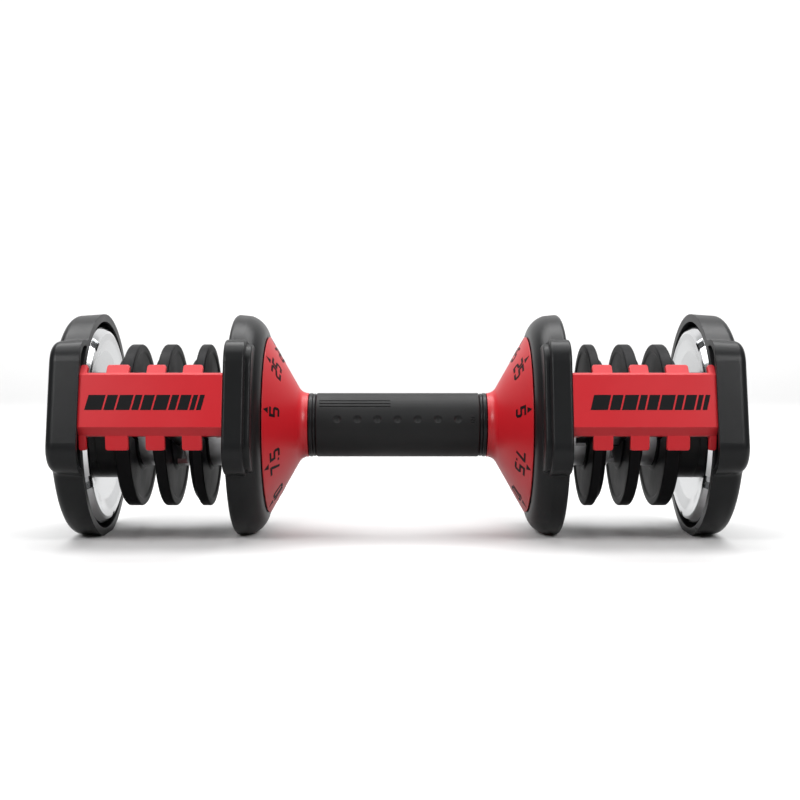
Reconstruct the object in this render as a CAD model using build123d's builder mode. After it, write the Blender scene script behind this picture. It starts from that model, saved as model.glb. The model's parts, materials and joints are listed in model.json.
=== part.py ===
from build123d import *
import math
import os

# An adjustable dumbbell. Turning the grip turns a red number cone and three locking cams at each
# end; the cams pick up one, two or three plates per head. The two heads are held together by a
# steel core rod, and each head is an inner flange, one channel beam and an end cap. In use the
# beams are on top, and the plates hang under them, open to their tray below. Here the dumbbell
# lies on its rings with the beams to the front.
#
# Everything is drawn in the handle's own frame: X along the handle, the reading mark at the
# front (-Y), and the plate slots open to the front too. Pieces of the right-hand head are drawn at +X
# and mirrored for the left. RESTING then lays the finished dumbbell on the floor.

# ---------------------------------------------------------------- driving dimensions, mm
ROLL = 14.0                # how far the handle lies rolled back on its rings, degrees
FLAT_DISTANCE = 68.4       # axis to the small flats under the four rings
FLAT_HALF_DEPTH = 20.0
CENTRING = 5.55            # puts the axis this far behind the middle, because of the lobes in front

GRIP_RADIUS = 20.0
GRIP_HALF = 51.0           # half the length of the rubber grip
GRIP_CHAMFER = 0.8
GRIP_TUBE_RADIUS = 14.0
GRIP_TUBE_HALF = 62.0
DIMPLE_COUNT = 7
DIMPLE_PITCH = 12.4
DIMPLE_RADIUS = 2.6
DIMPLE_DEPTH = 1.1
GROOVE_ANGLES = (24.0, 31.0, 38.0)     # above the front line, degrees
GROOVE_WIDTH = 0.7
GROOVE_DEPTH = 0.45
GROOVE_START = -48.5
GROOVE_END = -4.5
MARK_ALONG = 46.4          # three short bars near one end of the grip
MARK_LENGTH = 2.4
MARK_ANGLES = (-6.0, -2.0, 2.0)

TRIM_START = 51.1
TRIM_EDGE = 0.6
COLLAR_START = 52.8
COLLAR_EDGE = 0.9
COLLAR_END = 55.5
TRIM_RADIUS = 19.7

CONE_START = 55.7
CONE_RIM = 80.3
CONE_BLEND = 7.0           # fillet between the neck and the slope
CONE_SLOPE = 60.3          # slope of the number face from the axis, degrees
CONE_NECK = 63.0           # depth of the solid neck
CONE_WALL = 4.5            # measured across the handle
CONE_BEVEL = 1.0

POSITIONS = 9              # 5 to 25 in steps of 2.5
STEP_ANGLE = 360.0 / POSITIONS

TUBE_RADIUS = 12.5         # selector tube that carries the cams
TUBE_BORE = 6.5
TUBE_START = 56.0
TUBE_END = 177.0
ROD_RADIUS = 6.0
ROD_HALF = 200.2
ROD_CHAMFER = 0.8
ROD_CLEARANCE = 0.2
RUNNING_CLEARANCE = 0.05

FLANGE_START = 80.8
FLANGE_END = 100.8
FLANGE_RADIUS = 69.0
FLANGE_NECK_RADIUS = 56.5
FLANGE_EDGE = 3.0
FLANGE_SHOULDER = (84.6, 64.3)
FLANGE_CROWN = (91.5, 68.4)
FLANGE_HOLLOW_RADIUS = 59.0
FLANGE_HOLLOW_DEPTH = 10.0
FLANGE_BOSS_RADIUS = 21.0
FLANGE_RIBS = 8
FLANGE_RIB = 2.4
FLANGE_TUCK = 1.8          # how far the lobes' own disc stays inside the ring
LOBE_START = 88.4
LOBE_REACH = 76.0          # axis to the lobe's front face
LOBE_HALF_HEIGHT = 40.0
LOBE_CORNER = 16.0
LOBE_BLEND = 6.0
RIB_START = 84.8           # a lower step on the handle side of each flange lobe
RIB_REACH = 73.0
RIB_HALF_HEIGHT = 38.0
LOBE_EDGE = 1.6
BUSH_RADIUS = 15.5

CAP_START = 183.2
CAP_END = 202.0
CAP_RADIUS = 69.5
CAP_WALL = 4.7
CAP_FLOOR = 4.0
CAP_TAPER = 4.0
CAP_EDGE = 5.5
CAP_LOBE_REACH = 76.6
CAP_LOBE_WALL = 3.5
CAP_BOSS_RADIUS = 20.0
CAP_DISH_RADIUS = 52.0
CAP_DISH_INSIDE = 22.0
CAP_DISH_DEPTH = 1.4
CAP_SCREW_SINK = 3.0

DISC_RADIUS = 61.5
DISC_FACE = 181.4
DISC_BACK = 188.0
DISC_RIM = ((3.6, 0.0), (0.6, 2.6), (0.0, 4.2), (0.2, 8.0))   # back from the face, in from the edge
DISC_SLOPE = 15.0          # the dished face is flat again this far in from the edge
NOTCHES = ((135.0, 9.0), (225.0, 9.0), (292.0, 5.0))   # angle round the rim, width
NOTCH_DEPTH = 5.0
NOTCH_SINK = 3.2
HUB_RADIUS = 33.0
HUB_START = 171.4
HUB_END = 183.6
HUB_BORE_END = 178.4
HUB_EDGE = 1.5
BUSH_GAP = 0.4

BEAM_START = 100.8
BEAM_END = 183.2
BEAM_WALL = 3.0
# across the beam, from the foot of the lower tabs to the head of the upper ones
BEAM_OUTLINE = ((-68.0, -27.0), (-70.5, -18.9), (-75.0, -14.6), (-75.0, 16.0), (-74.0, 17.4), (-71.0, 22.8))
BEAM_FOOT = -18.9          # between the tabs the beam reaches from here
BEAM_HEAD = 17.4           # to here
TAB_FOOT = -27.0
TAB_HEAD = 22.8
TAB_CORNER = 1.5
TABS = ((112.6, 123.9), (134.0, 144.8), (155.0, 168.0), (179.2, 183.2))
BEAM_END_WALL = 4.0
BEAM_WALL_INSIDE = -64.6   # the end walls reach inwards from the flat face to here
SCREWS = ((-68.6, -9.5), (-68.6, 9.5))   # where the screw axes stand, across the handle
SCREW_RADIUS = 1.6
SCREW_HEAD_RADIUS = 3.0
SCREW_HEAD = 2.2
SCREW_DEPTH = 7.0
SCREW_TIP_GAP = 0.4
PILLAR_RADIUS = 3.8

PLATE_RADIUS = 50.6
SLOT_HALF = 13.5
PLATE_EDGE = 1.2
DISH_DEPTH = 0.8
DISH_OUTER = 46.5
DISH_INNER = 27.0
LUG_HALF_WIDTH = 5.0
LUG_NEAR = 15.0            # the lug stands behind the axis, from here
LUG_FAR = 21.0             # to here
LUG_LENGTH = 6.0
PLATE_PITCH = 21.4
EASED = (0.8, 0.8)         # bevel along and across, on most boss edges
SLOPED = (3.6, 5.1)
HALVES = {"upper": Axis.X, "lower": Axis((0, 0, 0), (-1, 0, 0)), "round": Axis.X}
PLATES = {
    # name: handle-side face, rim's far face, and the bosses as (radius, far face, bevel, half)
    "inner": (116.2, 122.0, ((41.5, 126.2, EASED, "upper"), (50.6, 124.8, SLOPED, "lower"))),
    "middle": (137.8, 144.8, ((43.0, 148.0, EASED, "upper"), (31.5, 149.4, EASED, "round"))),
    "outer": (159.2, 166.2, ((43.0, 170.6, EASED, "upper"), (50.6, 168.0, EASED, "lower"))),
}

CAM_RADIUS = 25.5
LIP_INSIDE = 22.5
CAM_HUB_RADIUS = 14.5
WEB = 2.0
LIP_LENGTH = 6.6
LIP_SECTOR = 40.0
WEB_FRONT = {"inner": 107.0, "middle": 128.6, "outer": 150.0}
PICKED_UP = {
    # dial positions, counted from 0 at "5" to 8 at "25", at which each plate is carried
    ("left", "inner"): (1, 2, 3, 5, 6, 7, 8),
    ("right", "inner"): (2, 3, 6, 7, 8),
    ("left", "middle"): (3, 7, 8),
    ("right", "middle"): (8,),
    ("left", "outer"): (4, 5, 6, 7, 8),
    ("right", "outer"): (4, 5, 6, 7, 8),
}

DETENT_RING_START = 77.2
DETENT_RING_END = 80.4
DETENT_RING_RADIUS = 45.5
DETENT_CIRCLE = 36.0
DETENT_DIMPLE = 3.6        # radius of the ball pockets
BALL_POCKET_CENTRE = 82.8
PLUNGER_RADIUS = 3.0
PLUNGER_TIP = 80.7
PLUNGER_LENGTH = 8.4
PLUNGER_POCKET = 3.08
PLUNGER_POCKET_END = 95.5
SPRING_RADIUS = 2.2
SPRING_WIRE = 0.35
SPRING_TURNS = 5

WASHER_START = 194.0
WASHER_RADIUS = 11.0
WASHER = 1.5
NUT_RADIUS = 9.2           # half the distance across corners
NUT = 4.4
COVER_RADIUS = 15.8
COVER_START = 200.4
COVER_POCKET = 16.0
COVER_WALL = 1.8
COVER_EDGE = 0.8

RESTING = Location((0, CENTRING, FLAT_DISTANCE), (-ROLL, 0, 0))
FLOOR = Plane(
    origin=(0, FLAT_DISTANCE * math.sin(math.radians(ROLL)), -FLAT_DISTANCE * math.cos(math.radians(ROLL))),
    x_dir=(1, 0, 0),
    z_dir=(0, math.sin(math.radians(ROLL)), -math.cos(math.radians(ROLL))),
)

os.makedirs("parts", exist_ok=True)


# ---------------------------------------------------------------- helpers
def profile(*points):
    """A flat outline through (along the handle, radius) points, to be turned about the handle."""
    with BuildSketch(Plane.XY) as outline:
        with BuildLine():
            Polyline(*points, close=True)
        make_face()
    return outline.sketch


def sector(inside, outside, middle, width):
    """A piece of a flat ring, middle and width in degrees, drawn across the handle."""
    low = math.radians(middle - width / 2)
    mid = math.radians(middle)
    high = math.radians(middle + width / 2)
    near = [(inside * math.cos(a), inside * math.sin(a)) for a in (low, mid, high)]
    far = [(outside * math.cos(a), outside * math.sin(a)) for a in (low, mid, high)]
    with BuildSketch(Plane.XY) as piece:
        with BuildLine():
            ThreePointArc(*near)
            Line(near[2], far[2])
            ThreePointArc(*far)
            Line(far[0], near[0])
        make_face()
    return piece.sketch


def edges_at(builder, along):
    """The edges of a part that lie flat across the handle at one distance along it."""
    return builder.edges().filter_by_position(Axis.X, along - 0.01, along + 0.01)


def save(piece, node):
    """Lay a finished piece in its resting attitude and write it as its own file."""
    resting = piece.moved(RESTING)
    resting.label = node
    export_step(resting, f"parts/{node}.step")


def save_pair(piece, node):
    """Write a right-hand piece, and its mirror image for the left-hand head."""
    save(piece, f"{node}_right")
    save(piece.mirror(Plane.YZ), f"{node}_left")


# ---------------------------------------------------------------- the turning handle
with BuildPart() as grip:
    with BuildSketch(Plane.YZ.offset(-GRIP_HALF)):
        Circle(GRIP_RADIUS)
        Circle(GRIP_TUBE_RADIUS, mode=Mode.SUBTRACT)
    extrude(amount=2 * GRIP_HALF)
    chamfer(grip.edges().filter_by(GeomType.CIRCLE).group_by(SortBy.RADIUS)[-1], GRIP_CHAMFER)
    ball = (DIMPLE_RADIUS**2 + DIMPLE_DEPTH**2) / (2 * DIMPLE_DEPTH)
    with Locations((0, -(GRIP_RADIUS + ball - DIMPLE_DEPTH), 0)):
        with GridLocations(DIMPLE_PITCH, 1, DIMPLE_COUNT, 1):
            Sphere(ball, mode=Mode.SUBTRACT)
    grooves = [(a, (GROOVE_START + GROOVE_END) / 2, GROOVE_END - GROOVE_START) for a in GROOVE_ANGLES]
    grooves += [(a, MARK_ALONG, MARK_LENGTH) for a in MARK_ANGLES]
    for angle, along, length in grooves:
        away = math.radians(angle)
        with Locations(
            Location((along, -GRIP_RADIUS * math.cos(away), GRIP_RADIUS * math.sin(away)), (-angle, 0, 0))
        ):
            Box(length, 2 * GROOVE_DEPTH, GROOVE_WIDTH, mode=Mode.SUBTRACT)
save(grip.part, "grip")

with BuildPart() as grip_tube:
    with BuildSketch(Plane.YZ.offset(-GRIP_TUBE_HALF)):
        Circle(GRIP_TUBE_RADIUS)
        Circle(TUBE_RADIUS, mode=Mode.SUBTRACT)
    extrude(amount=2 * GRIP_TUBE_HALF)
save(grip_tube.part, "grip_tube")

with BuildPart() as trim_ring:
    with BuildSketch(Plane.YZ.offset(TRIM_START)):
        Circle(TRIM_RADIUS)
        Circle(GRIP_TUBE_RADIUS, mode=Mode.SUBTRACT)
    extrude(amount=COLLAR_START - TRIM_START)
    fillet(trim_ring.edges().filter_by(GeomType.CIRCLE).group_by(SortBy.RADIUS)[-1], TRIM_EDGE)
save_pair(trim_ring.part, "trim_ring")

with BuildPart() as collar:
    with BuildSketch(Plane.YZ.offset(COLLAR_START)):
        Circle(GRIP_RADIUS)
        Circle(GRIP_TUBE_RADIUS, mode=Mode.SUBTRACT)
    extrude(amount=COLLAR_END - COLLAR_START)
    fillet(collar.edges().filter_by(GeomType.CIRCLE).group_by(SortBy.RADIUS)[-1], COLLAR_EDGE)
save_pair(collar.part, "collar")

# The number cone: a moulded shell on a solid neck, open at the back over the detent ring.
slope = math.radians(CONE_SLOPE)
blend_end = (
    CONE_START + CONE_BLEND * math.sin(slope),
    GRIP_RADIUS + CONE_BLEND * (1 - math.cos(slope)),
)
rim_radius = blend_end[1] + (CONE_RIM - blend_end[0]) * math.tan(slope)
inside_rim = rim_radius - CONE_WALL
inside_neck = inside_rim - (CONE_RIM - CONE_NECK) * math.tan(slope)
with BuildPart() as dial_cone:
    with BuildSketch(Plane.XY):
        with BuildLine():
            JernArc((CONE_START, GRIP_RADIUS), (1, 0), CONE_BLEND, CONE_SLOPE)
            Line(blend_end, (CONE_RIM, rim_radius))
            Line((CONE_RIM, rim_radius), (CONE_RIM, inside_rim))
            Line((CONE_RIM, inside_rim), (CONE_NECK, inside_neck))
            Line((CONE_NECK, inside_neck), (CONE_NECK, GRIP_TUBE_RADIUS))
            Line((CONE_NECK, GRIP_TUBE_RADIUS), (CONE_START, GRIP_TUBE_RADIUS))
            Line((CONE_START, GRIP_TUBE_RADIUS), (CONE_START, GRIP_RADIUS))
        make_face()
    revolve(axis=Axis.X)
    chamfer(dial_cone.edges().filter_by(GeomType.CIRCLE).group_by(SortBy.RADIUS)[-1], CONE_BEVEL)
save_pair(dial_cone.part, "dial_cone")

# The detent ring behind the cone, with one ball pocket for each number.
with BuildPart() as detent_ring:
    with BuildSketch(Plane.YZ.offset(DETENT_RING_START)):
        Circle(DETENT_RING_RADIUS)
        Circle(TUBE_RADIUS, mode=Mode.SUBTRACT)
    extrude(amount=DETENT_RING_END - DETENT_RING_START)
    with Locations(Plane.YZ.offset(BALL_POCKET_CENTRE)):
        with PolarLocations(DETENT_CIRCLE, POSITIONS, start_angle=90):
            Sphere(DETENT_DIMPLE, mode=Mode.SUBTRACT)
save_pair(detent_ring.part, "detent_ring")

with BuildPart() as selector_tube:
    with BuildSketch(Plane.YZ.offset(TUBE_START)):
        Circle(TUBE_RADIUS)
        Circle(TUBE_BORE, mode=Mode.SUBTRACT)
    extrude(amount=TUBE_END - TUBE_START)
save_pair(selector_tube.part, "selector_tube")

# One cam in front of each plate: a thin web on the tube, with a lip that turns in under the
# plate's lug at the dial positions where that plate is carried.
for (side, plate_name), carried in PICKED_UP.items():
    front = WEB_FRONT[plate_name]
    with BuildPart() as cam:
        with BuildSketch(Plane.YZ.offset(front)):
            Circle(CAM_RADIUS)
            Circle(TUBE_RADIUS, mode=Mode.SUBTRACT)
        extrude(amount=WEB)
        with BuildSketch(Plane.YZ.offset(front + WEB)):
            for position in carried:
                add(sector(LIP_INSIDE, CAM_RADIUS, STEP_ANGLE * position, LIP_SECTOR))
        extrude(amount=LIP_LENGTH)
        with BuildSketch(Plane.YZ.offset(front + WEB)):
            Circle(CAM_HUB_RADIUS)
            Circle(TUBE_RADIUS, mode=Mode.SUBTRACT)
        extrude(amount=WEB / 2)
    turned = cam.part if side == "right" else cam.part.mirror(Plane.YZ)
    save(turned, f"cam_{plate_name}_{side}")


# ---------------------------------------------------------------- the frame
with BuildPart() as core_rod:
    with BuildSketch(Plane.YZ.offset(-ROD_HALF)):
        Circle(ROD_RADIUS)
    extrude(amount=2 * ROD_HALF)
    chamfer(core_rod.edges().filter_by(GeomType.CIRCLE), ROD_CHAMFER)
save(core_rod.part, "core_rod")

# Inner flange: a rounded ring joined to a lobe at the front that carries the beam. The lobe has a
# lower step on its handle side.
with BuildPart() as flange_lobe:
    with BuildSketch(Plane.YZ.offset(LOBE_START)) as lobe_outline:
        Circle(FLANGE_RADIUS - FLANGE_TUCK)
        with Locations((-LOBE_REACH / 2, 0)):
            RectangleRounded(LOBE_REACH, 2 * LOBE_HALF_HEIGHT, LOBE_CORNER)
        meeting = lobe_outline.vertices().filter_by(lambda v: abs(abs(v.Y) - LOBE_HALF_HEIGHT) < 0.01)
        fillet(meeting.sort_by(lambda v: abs(v.X))[0:2], LOBE_BLEND)
    extrude(amount=FLANGE_END - LOBE_START)
    fillet(edges_at(flange_lobe, LOBE_START), LOBE_EDGE)
    fillet(edges_at(flange_lobe, FLANGE_END), LOBE_EDGE)

with BuildPart() as lobe_step:
    with BuildSketch(Plane.YZ.offset(RIB_START)):
        with Locations((-RIB_REACH / 2, 0)):
            RectangleRounded(RIB_REACH, 2 * RIB_HALF_HEIGHT, LOBE_CORNER)
    extrude(amount=LOBE_START + LOBE_EDGE - RIB_START)
    fillet(edges_at(lobe_step, RIB_START), LOBE_EDGE)

with BuildPart() as flange:
    with BuildSketch(Plane.XY):
        with BuildLine():
            Polyline(
                (FLANGE_END, FLANGE_RADIUS - FLANGE_EDGE),
                (FLANGE_END, BUSH_RADIUS),
                (FLANGE_START, BUSH_RADIUS),
                (FLANGE_START, FLANGE_NECK_RADIUS),
            )
            ThreePointArc((FLANGE_START, FLANGE_NECK_RADIUS), FLANGE_SHOULDER, FLANGE_CROWN)
            Line(FLANGE_CROWN, (FLANGE_END - FLANGE_EDGE, FLANGE_RADIUS))
            JernArc((FLANGE_END - FLANGE_EDGE, FLANGE_RADIUS), (1, 0), FLANGE_EDGE, -90)
        make_face()
    revolve(axis=Axis.X)
    add(flange_lobe.part)
    add(lobe_step.part)
    with BuildSketch(Plane.YZ.offset(FLANGE_START)):
        Circle(BUSH_RADIUS)
    extrude(amount=FLANGE_END - FLANGE_START, mode=Mode.SUBTRACT)
    # the hollow side, towards the plates, with stiffening ribs and a boss behind the plunger
    with BuildSketch(Plane.YZ.offset(FLANGE_END)):
        Circle(FLANGE_HOLLOW_RADIUS)
        Circle(FLANGE_BOSS_RADIUS, mode=Mode.SUBTRACT)
        with PolarLocations((FLANGE_HOLLOW_RADIUS + FLANGE_BOSS_RADIUS) / 2, FLANGE_RIBS):
            Rectangle(FLANGE_HOLLOW_RADIUS, FLANGE_RIB, mode=Mode.SUBTRACT)
        with Locations((0, DETENT_CIRCLE)):
            Circle(2 * PLUNGER_RADIUS, mode=Mode.SUBTRACT)
    extrude(amount=-FLANGE_HOLLOW_DEPTH, mode=Mode.SUBTRACT)
    with BuildSketch(Plane.YZ.offset(FLANGE_START)):
        with Locations((0, DETENT_CIRCLE)):
            Circle(PLUNGER_POCKET)
    extrude(amount=PLUNGER_POCKET_END - FLANGE_START, mode=Mode.SUBTRACT)
    with BuildSketch(Plane.YZ.offset(FLANGE_END)):
        with Locations(*SCREWS):
            Circle(SCREW_RADIUS)
    extrude(amount=-SCREW_DEPTH, mode=Mode.SUBTRACT)
    with BuildSketch(FLOOR):
        Rectangle(4 * CAP_END, FLAT_HALF_DEPTH * 2)
    extrude(amount=FLAT_HALF_DEPTH, mode=Mode.SUBTRACT)
save_pair(flange.part, "flange")

# End cap: a cup with the same lobe, open towards the plates, hollow inside its lobe.
with BuildPart() as end_cap:
    with BuildSketch(Plane.YZ.offset(CAP_START)) as cap_outline:
        Circle(CAP_RADIUS)
        with Locations((-CAP_LOBE_REACH / 2, 0)):
            RectangleRounded(CAP_LOBE_REACH, 2 * LOBE_HALF_HEIGHT, LOBE_CORNER)
        meeting = cap_outline.vertices().filter_by(lambda v: abs(abs(v.Y) - LOBE_HALF_HEIGHT) < 0.01)
        fillet(meeting.sort_by(lambda v: abs(v.X))[0:2], LOBE_BLEND)
    extrude(amount=CAP_END - CAP_START, taper=CAP_TAPER)
    fillet(end_cap.faces().sort_by(Axis.X)[-1].edges(), CAP_EDGE)
    with BuildSketch(Plane.YZ.offset(CAP_START)):
        Circle(CAP_RADIUS - CAP_WALL)
        Circle(CAP_BOSS_RADIUS, mode=Mode.SUBTRACT)
    extrude(amount=CAP_END - CAP_FLOOR - CAP_START, mode=Mode.SUBTRACT)
    with BuildSketch(Plane.YZ.offset(CAP_START)):
        with Locations(((CAP_LOBE_WALL - CAP_LOBE_REACH) / 2, 0)):
            RectangleRounded(
                CAP_LOBE_REACH - CAP_LOBE_WALL,
                2 * (LOBE_HALF_HEIGHT - CAP_LOBE_WALL),
                LOBE_CORNER - CAP_LOBE_WALL,
            )
        Circle(CAP_RADIUS, mode=Mode.SUBTRACT)
        with Locations(*SCREWS):
            Circle(PILLAR_RADIUS, mode=Mode.SUBTRACT)
    extrude(amount=CAP_END - 2 * CAP_FLOOR - CAP_START, mode=Mode.SUBTRACT)
    with BuildSketch(Plane.YZ.offset(CAP_START)):
        Circle(CAP_BOSS_RADIUS)
    extrude(amount=DISC_BACK - CAP_START, mode=Mode.SUBTRACT)
    # the dished outer face, the nut's pocket and the screw holes
    with BuildSketch(Plane.YZ.offset(CAP_END)):
        Circle(CAP_DISH_RADIUS)
        Circle(CAP_DISH_INSIDE, mode=Mode.SUBTRACT)
    extrude(amount=-CAP_DISH_DEPTH, mode=Mode.SUBTRACT)
    with BuildSketch(Plane.YZ.offset(CAP_END)):
        Circle(COVER_POCKET)
    extrude(amount=WASHER_START - CAP_END, mode=Mode.SUBTRACT)
    with BuildSketch(Plane.YZ.offset(CAP_END)):
        Circle(ROD_RADIUS + ROD_CLEARANCE)
    extrude(amount=CAP_START - CAP_END, mode=Mode.SUBTRACT)
    with BuildSketch(Plane.YZ.offset(CAP_END)):
        with Locations(*SCREWS):
            Circle(SCREW_RADIUS)
    extrude(amount=CAP_START - CAP_END, mode=Mode.SUBTRACT)
    with BuildSketch(Plane.YZ.offset(CAP_END)):
        with Locations(*SCREWS):
            Circle(SCREW_HEAD_RADIUS + ROD_CLEARANCE)
    extrude(amount=-CAP_SCREW_SINK, mode=Mode.SUBTRACT)
    with BuildSketch(FLOOR):
        Rectangle(4 * CAP_END, FLAT_HALF_DEPTH * 2)
    extrude(amount=FLAT_HALF_DEPTH, mode=Mode.SUBTRACT)
save_pair(end_cap.part, "end_cap")

# The bright end weight: a dished steel disc with a rolled rim and three gripping notches.
with BuildPart() as end_disc:
    revolve(
        profile(
            (DISC_BACK, ROD_RADIUS + ROD_CLEARANCE),
            (DISC_BACK, DISC_RADIUS),
            *[(DISC_FACE + back, DISC_RADIUS - inwards) for back, inwards in DISC_RIM],
            (HUB_END, DISC_RADIUS - DISC_SLOPE),
            (HUB_END, ROD_RADIUS + ROD_CLEARANCE),
        ),
        axis=Axis.X,
    )
    for angle, width in NOTCHES:
        with BuildSketch(Plane.YZ.offset(DISC_FACE - 1)):
            with PolarLocations(DISC_RADIUS, 1, start_angle=angle):
                Rectangle(2 * NOTCH_DEPTH, width)
        extrude(amount=1 + NOTCH_SINK, mode=Mode.SUBTRACT)
save_pair(end_disc.part, "end_disc")

with BuildPart() as end_hub:
    with BuildSketch(Plane.YZ.offset(HUB_START)):
        Circle(HUB_RADIUS)
        Circle(BUSH_RADIUS, mode=Mode.SUBTRACT)
    extrude(amount=HUB_BORE_END - HUB_START)
    with BuildSketch(Plane.YZ.offset(HUB_BORE_END)):
        Circle(HUB_RADIUS)
        Circle(ROD_RADIUS + ROD_CLEARANCE, mode=Mode.SUBTRACT)
    extrude(amount=HUB_END - HUB_BORE_END)
    fillet(end_hub.edges().filter_by(GeomType.CIRCLE).group_by(SortBy.RADIUS)[-1].sort_by(Axis.X)[0], HUB_EDGE)
save_pair(end_hub.part, "end_hub")

# Plain bushes that the selector tube turns in, one in the end hub and one in the flange.
for node, start, end in (
    ("end_bush", HUB_START + BUSH_GAP, HUB_BORE_END - BUSH_GAP),
    ("flange_bush", FLANGE_START + BUSH_GAP, FLANGE_END - BUSH_GAP),
):
    with BuildPart() as bush:
        with BuildSketch(Plane.YZ.offset(start)):
            Circle(BUSH_RADIUS)
            Circle(TUBE_RADIUS + RUNNING_CLEARANCE, mode=Mode.SUBTRACT)
        extrude(amount=end - start)
    save_pair(bush.part, node)

# Channel beam: a flat face over a lower bevel, with tabs that stand beside each plate.
with BuildPart() as beam:
    with BuildSketch(Plane.YZ.offset(BEAM_START)):
        with BuildLine() as channel:
            outside = Polyline(*BEAM_OUTLINE)
            offset(outside, amount=BEAM_WALL, side=Side.RIGHT)
        make_face()
    extrude(amount=BEAM_END - BEAM_START)
    with BuildSketch(Plane.XZ) as front_view:
        with Locations(((BEAM_START + BEAM_END) / 2, (BEAM_HEAD + BEAM_FOOT) / 2)):
            Rectangle(BEAM_END - BEAM_START, BEAM_HEAD - BEAM_FOOT)
        for tab_start, tab_end in TABS:
            with Locations(((tab_start + tab_end) / 2, (TAB_HEAD + TAB_FOOT) / 2)):
                RectangleRounded(tab_end - tab_start, TAB_HEAD - TAB_FOOT, TAB_CORNER)
    extrude(amount=2 * CAP_RADIUS, mode=Mode.INTERSECT)
    for wall_start in (BEAM_START, BEAM_END - BEAM_END_WALL):
        with BuildSketch(Plane.YZ.offset(wall_start)):
            inner_corners = ((BEAM_WALL_INSIDE, BEAM_HEAD), (BEAM_WALL_INSIDE, BEAM_FOOT))
            Polygon(*BEAM_OUTLINE[1:5], *inner_corners, align=None)
        extrude(amount=BEAM_END_WALL)
    with BuildSketch(Plane.YZ.offset(BEAM_START)):
        with Locations(*SCREWS):
            Circle(SCREW_RADIUS)
    extrude(amount=BEAM_END - BEAM_START, mode=Mode.SUBTRACT)
save_pair(beam.part, "beam")

# Four screws hold the beams to the flanges and four more hold the caps to the beams.
for node, head_start, shank_start, shank_end in (
    ("flange_screws", BEAM_START + BEAM_END_WALL, FLANGE_END - SCREW_DEPTH + SCREW_TIP_GAP, BEAM_START + BEAM_END_WALL),
    ("cap_screws", CAP_END - CAP_SCREW_SINK, BEAM_END - BEAM_END_WALL + SCREW_TIP_GAP, CAP_END - CAP_SCREW_SINK),
):
    with BuildPart() as screws:
        for mirrored in (1, -1):
            with BuildSketch(Plane.YZ.offset(mirrored * shank_start)):
                with Locations(*SCREWS):
                    Circle(SCREW_RADIUS)
            extrude(amount=mirrored * (shank_end - shank_start))
            with BuildSketch(Plane.YZ.offset(mirrored * head_start)):
                with Locations(*SCREWS):
                    Circle(SCREW_HEAD_RADIUS)
            extrude(amount=mirrored * SCREW_HEAD)
            with BuildSketch(Plane.YZ.offset(mirrored * (head_start + SCREW_HEAD))):
                with Locations(*SCREWS):
                    RegularPolygon(SCREW_RADIUS, 6)
            extrude(amount=-mirrored * SCREW_HEAD / 2, mode=Mode.SUBTRACT)
    save(screws.part, node)

# The core rod is clamped at both ends by a washer and a nut under a snap-in cover.
with BuildPart() as washer:
    with BuildSketch(Plane.YZ.offset(WASHER_START)):
        Circle(WASHER_RADIUS)
        Circle(ROD_RADIUS + ROD_CLEARANCE, mode=Mode.SUBTRACT)
    extrude(amount=WASHER)
save_pair(washer.part, "rod_washer")

with BuildPart() as nut:
    with BuildSketch(Plane.YZ.offset(WASHER_START + WASHER)):
        RegularPolygon(NUT_RADIUS, 6)
        Circle(ROD_RADIUS, mode=Mode.SUBTRACT)
    extrude(amount=NUT)
save_pair(nut.part, "rod_nut")

with BuildPart() as cover:
    with BuildSketch(Plane.YZ.offset(COVER_START)):
        Circle(COVER_RADIUS)
    extrude(amount=CAP_END - COVER_START)
    with BuildSketch(Plane.YZ.offset(COVER_START)):
        Circle(COVER_RADIUS)
        Circle(COVER_RADIUS - COVER_WALL, mode=Mode.SUBTRACT)
    extrude(amount=WASHER_START - COVER_START)
    fillet(cover.faces().sort_by(Axis.X)[-1].edges(), COVER_EDGE)
save_pair(cover.part, "end_cover")


# ---------------------------------------------------------------- the detents
with BuildPart() as plunger:
    with BuildSketch(Plane.XY):
        with BuildLine():
            Polyline(
                (PLUNGER_TIP, 0),
                (PLUNGER_TIP + PLUNGER_LENGTH, 0),
                (PLUNGER_TIP + PLUNGER_LENGTH, PLUNGER_RADIUS),
                (PLUNGER_TIP + PLUNGER_RADIUS, PLUNGER_RADIUS),
            )
            JernArc((PLUNGER_TIP, 0), (0, 1), PLUNGER_RADIUS, -90)
        make_face()
    revolve(axis=Axis.X)
save_pair(plunger.part.moved(Location((0, 0, DETENT_CIRCLE))), "detent_plunger")

spring_start = PLUNGER_TIP + PLUNGER_LENGTH + SPRING_WIRE
spring_end = PLUNGER_POCKET_END - SPRING_WIRE
with BuildPart() as spring:
    with BuildLine():
        coil = Helix(
            pitch=(spring_end - spring_start) / SPRING_TURNS,
            height=spring_end - spring_start,
            radius=SPRING_RADIUS,
            center=(spring_start, 0, 0),
            direction=(1, 0, 0),
        )
    with BuildSketch(Plane(origin=coil @ 0, z_dir=coil % 0)):
        Circle(SPRING_WIRE)
    sweep()
save_pair(spring.part.moved(Location((0, 0, DETENT_CIRCLE))), "detent_spring")


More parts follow.
